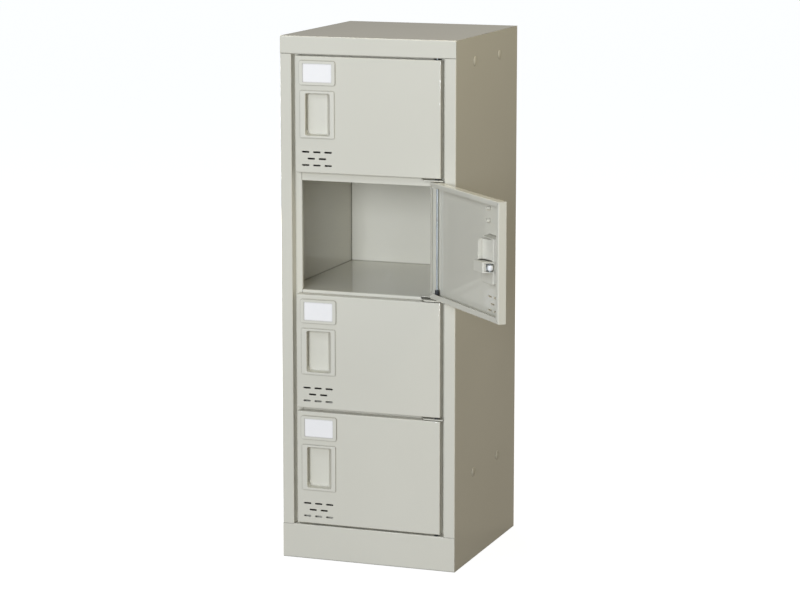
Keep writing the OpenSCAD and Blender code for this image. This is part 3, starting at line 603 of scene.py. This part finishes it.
for door in DOORS:
    bushes = [(for_door(points, door), faces) for points, faces in bush_bodies()]
    piece(f"door_{door}_turned_bushes", bushes, BLACK, f"door_{door}", [f"door_{door}_bushes"])
ROD_RADIUS, ROD_CHAMFER = 2.0, 0.5
rod_low, rod_high = low_and_high("hinge_rod")
rod_length = (rod_high[2] - rod_low[2]) / MM
rod_profile = [(NEARLY_AXIS, 0), (ROD_RADIUS - ROD_CHAMFER, 0), (ROD_RADIUS, ROD_CHAMFER),
               *((ROD_RADIUS, h) for h in np.linspace(1, rod_length - 1, 12)),
               (ROD_RADIUS, rod_length - ROD_CHAMFER), (ROD_RADIUS - ROD_CHAMFER, rod_length),
               (NEARLY_AXIS, rod_length)]
piece("rod_of_bar", [turned(rod_profile, (ROD[0], ROD[1], rod_low[2]), (0, 0, 1), 32)], ZINC, "cabinet",
      ["hinge_rod"])
print("rod", round(rod_length), "mm long in", 2 * len(DOORS), "bushes")

# %% [markdown]
# A push-on washer with sprung teeth grips the rod at either end. It is a bent strip carried round the rod,
# whose inner rim is a wave, so six teeth come out of one formula instead of six cuts.

# %% Washers
WASHER_THICK = 0.8 * MM
TOOTH_MEAN, TOOTH_WAVE, TEETH = 2.3, 0.35, 6


def washer(low, high, bulge):
    """Ring whose section is a bent strip; its inner rim is the radius mean + wave cos(teeth times angle)."""
    outer = (high[0] - low[0]) / 2
    thick, middle = high[2] - low[2], (low[2] + high[2]) / 2
    rings = []
    for a in np.linspace(0, 2 * math.pi, 72, endpoint=False):
        inner = (TOOTH_MEAN + TOOTH_WAVE * math.cos(TEETH * a)) * MM
        section = [(outer, -0.5), (outer, 0.1), (outer - 0.8 * MM, 0.2), (inner, 0.2 + 0.3 * bulge),
                   (inner, -0.2 + 0.3 * bulge), (outer - 0.9 * MM, -0.4)]
        rings.append([(ROD[0] + r * math.cos(a), ROD[1] + r * math.sin(a), middle + share * thick)
                      for r, share in section])
    return closed_loop(rings)


clip_low, clip_high = low_and_high("rod_clips")
washers = []
for z0, bulge in ((clip_low[2], -1), (clip_high[2] - WASHER_THICK, 1)):
    washers.append(washer((clip_low[0], 0, z0), (clip_high[0], 0, z0 + WASHER_THICK), bulge))
piece("toothed_washers", washers, ZINC, "cabinet", ["rod_clips"])
print(len(washers), "washers with", TEETH, "teeth each")

# %% [markdown]
# Unused holes in the sides are closed by domed plugs, four in each side. A plug is a shallow dome with a
# rim and a short stem inside the hole, again a turned profile. The dome is the cap of an ellipse.

# %% Plugs
DOME_EDGE, DOME_ANGLE, DOME_FOOT, DOME_RISE = 8.0, 0.9, 0.4, 1.2
STEM, STEM_DEPTH = 5.4, 4.0
dome = [(DOME_EDGE * math.sin(a) / math.sin(DOME_ANGLE),
         DOME_FOOT + DOME_RISE * (math.cos(a) - math.cos(DOME_ANGLE)) / (1 - math.cos(DOME_ANGLE)))
        for a in np.linspace(0.1, DOME_ANGLE, 9)]
plug_profile = [(NEARLY_AXIS, DOME_FOOT + DOME_RISE), *dome, (DOME_EDGE, 0.1), (DOME_EDGE - 0.1, 0.0),
                (STEM, 0.0), (STEM, 0.4 - STEM_DEPTH), (STEM - 0.4, -STEM_DEPTH), (NEARLY_AXIS, -STEM_DEPTH)]
SIDE_FACE = 0.156
plug_low, plug_high = low_and_high("side_plugs")
edge = DOME_EDGE * MM
plugs = []
for x, outward in ((-SIDE_FACE, -1), (SIDE_FACE, 1)):
    for y in (plug_low[1] + edge, plug_high[1] - edge):
        for z in (plug_low[2] + edge, plug_high[2] - edge):
            plugs.append(turned(plug_profile, (x, y, z), (outward, 0, 0), 48))
piece("domed_plugs", plugs, MOULDED, "cabinet", ["side_plugs"])
print(len(plugs), "plugs")

# %% [markdown]
# The locker stands on a plain floor in soft studio light. Glossy enamel shows what stands round it, so
# the floor goes on far behind the locker. Its own tone is warm and throws a soft warm light up the sides.
# The camera sees it lifted to white: fully at a distance, and a little less beside the locker, where its
# soft shadow should show. A reflection sees a fifth of that lift. More lamps would whiten the floor too,
# but they would wash out the locker with it.

# %% Floor
FLOOR_HALF = 30.0
FLOOR_UNDER_FEET = 0.5 * MM
LIFT_FROM, LIFT_TO = 0.3, 1.2
LIFT_NEAR, LIFT_FAR = 0.90, 1.0
LIFT_MIRRORED = 0.2


def floor():
    """Square sheet, a hair under the feet, whose lift goes smoothly from near to far with the distance."""
    mesh = bpy.data.meshes.new("studio_floor")
    half, z = FLOOR_HALF, -FLOOR_UNDER_FEET
    corners = [(-half, -half, z), (half, -half, z), (half, half, z), (-half, half, z)]
    mesh.from_pydata(corners, [], [(0, 1, 2, 3)])
    material = bpy.data.materials.new("pale_floor")
    material.use_nodes = True
    nodes, links = material.node_tree.nodes, material.node_tree.links
    shader = nodes["Principled BSDF"]
    shader.inputs["Base Color"].default_value = (0.27, 0.24, 0.19, 1)
    shader.inputs["Roughness"].default_value = 0.9
    shader.inputs["Specular IOR Level"].default_value = 0.1
    place = nodes.new("ShaderNodeTexCoord")
    distance = nodes.new("ShaderNodeVectorMath")
    distance.operation = "LENGTH"
    links.new(place.outputs["Object"], distance.inputs[0])
    lift = nodes.new("ShaderNodeMapRange")
    lift.interpolation_type = "SMOOTHSTEP"
    lift.inputs["From Min"].default_value, lift.inputs["From Max"].default_value = LIFT_FROM, LIFT_TO
    lift.inputs["To Min"].default_value, lift.inputs["To Max"].default_value = LIFT_NEAR, LIFT_FAR
    links.new(distance.outputs["Value"], lift.inputs["Value"])
    path = nodes.new("ShaderNodeLightPath")
    seen = nodes.new("ShaderNodeMath")
    seen.operation = "MULTIPLY_ADD"
    seen.inputs[1].default_value = LIFT_MIRRORED
    links.new(path.outputs["Is Glossy Ray"], seen.inputs[0])
    links.new(path.outputs["Is Camera Ray"], seen.inputs[2])
    glow = nodes.new("ShaderNodeEmission")
    glow.inputs["Color"].default_value = (0.96, 0.98, 1.0, 1)
    strength = nodes.new("ShaderNodeMath")
    strength.operation = "MULTIPLY"
    links.new(seen.outputs["Value"], strength.inputs[0])
    links.new(lift.outputs["Result"], strength.inputs[1])
    links.new(strength.outputs["Value"], glow.inputs["Strength"])
    add = nodes.new("ShaderNodeAddShader")
    links.new(shader.outputs["BSDF"], add.inputs[0])
    links.new(glow.outputs["Emission"], add.inputs[1])
    links.new(add.outputs["Shader"], nodes["Material Output"].inputs["Surface"])
    mesh.materials.append(material)
    thing = bpy.data.objects.new("studio_floor", mesh)
    bpy.context.scene.collection.objects.link(thing)


floor()
print("floor", 2 * FLOOR_HALF, "m wide")

# %% [markdown]
# The camera sees a white world. Reflections see a quarter of that white, which keeps them faint in the
# enamel, and the world itself lights dimly and warmly. An evenly bright world would be simpler, but it
# would light every side alike, and the locker's right side is clearly darker than its front.

# %% World
def world_light(colour, strength, mirrored):
    """White to the camera, that white times mirrored in a reflection, and a dim colour that only lights."""
    world = bpy.data.worlds.new("studio")
    bpy.context.scene.world = world
    world.use_nodes = True
    nodes, links = world.node_tree.nodes, world.node_tree.links
    dim = nodes["Background"]
    dim.inputs["Color"].default_value = (*colour, 1)
    dim.inputs["Strength"].default_value = strength
    white = nodes.new("ShaderNodeBackground")
    white.inputs["Color"].default_value = (1, 1, 1, 1)
    white.inputs["Strength"].default_value = 1.0
    path = nodes.new("ShaderNodeLightPath")
    share = nodes.new("ShaderNodeMath")
    share.operation = "MULTIPLY_ADD"
    share.inputs[1].default_value = mirrored
    links.new(path.outputs["Is Glossy Ray"], share.inputs[0])
    links.new(path.outputs["Is Camera Ray"], share.inputs[2])
    mix = nodes.new("ShaderNodeMixShader")
    links.new(share.outputs["Value"], mix.inputs["Fac"])
    links.new(dim.outputs["Background"], mix.inputs[1])
    links.new(white.outputs["Background"], mix.inputs[2])
    links.new(mix.outputs["Shader"], nodes["World Output"].inputs["Surface"])


world_light(colour=(1.0, 0.86, 0.62), strength=0.03, mirrored=0.25)
print("world ready")

# %% [markdown]
# The main lamp stands almost straight in front, with a smaller one to its right, so the open door's shadow
# hardly shows on the locker's right side. A weak panel up on the left and a broad warm one on the right
# fill the two sides, and a small one overhead brightens the top. Two more stand behind, for views from
# there. One of them is so high that the glossy top mirrors it only to an eye far above.

# %% Lamps
def lamp(name, at, aim, size, power, colour):
    """Rectangular lamp at one point, turned so that its front looks at another."""
    light = bpy.data.lights.new(name, "AREA")
    light.shape = "RECTANGLE"
    light.size, light.size_y = size
    light.energy = power
    light.color = colour
    thing = bpy.data.objects.new(name, light)
    thing.location = at
    direction = np.array(aim, float) - np.array(at, float)
    flat = math.hypot(direction[0], direction[1])
    thing.rotation_euler = (math.atan2(flat, -direction[2]), 0, math.atan2(-direction[0], direction[1]))
    bpy.context.scene.collection.objects.link(thing)


lamp("front_panel", (0.42, -5.00, 1.45), (0, 0, 0.5), (1.2, 1.7), 156, (0.85, 0.905, 1.0))
lamp("front_right_panel", (1.15, -4.80, 1.10), (0, 0, 0.5), (0.8, 1.2), 40, (0.85, 0.905, 1.0))
lamp("upper_panel", (-0.60, -1.60, 1.70), (0, 0, 0.6), (0.8, 0.5), 6, (0.84, 0.91, 1.0))
lamp("right_panel", (1.40, -0.26, 1.85), (0.1, 0, 0.5), (1.0, 1.0), 11.5, (1.0, 0.91, 0.67))
lamp("ceiling_panel", (0.45, -0.1, 2.4), (0.1, 0, 0.9), (0.8, 0.8), 6, (1.0, 0.97, 0.88))
lamp("rear_panel", (-1.5, 1.9, 4.0), (0, 0, 0.6), (2.0, 1.4), 40, (1.0, 0.98, 0.91))
lamp("back_panel_light", (-2.4, 3.2, 0.75), (0, 0, 0.45), (1.2, 1.3), 75, (1.0, 0.98, 0.93))
print(len(bpy.data.lights), "lamps")

# %% [markdown]
# The camera stands to the right of the locker and a little above it, far off with a long lens, and looks
# slightly down. Its place was fitted to the corners of the cabinet and of the open door.

# %% Camera
PHOTO_WIDTH = 800
FOCAL_PIXELS = 2796.7
camera_data = bpy.data.cameras.new("camera")
camera_data.sensor_width = 36
camera_data.lens = FOCAL_PIXELS / PHOTO_WIDTH * camera_data.sensor_width
camera_data.clip_end = 50
camera = bpy.data.objects.new("camera", camera_data)
camera.location = (1.6335, -4.5009, 1.2924)
camera.rotation_euler = (math.radians(90 - 10.192), 0, math.radians(19.971))
bpy.context.scene.collection.objects.link(camera)
bpy.context.scene.camera = camera
bpy.context.scene.view_settings.view_transform = "Standard"
print("lens", round(camera_data.lens, 1), "mm")
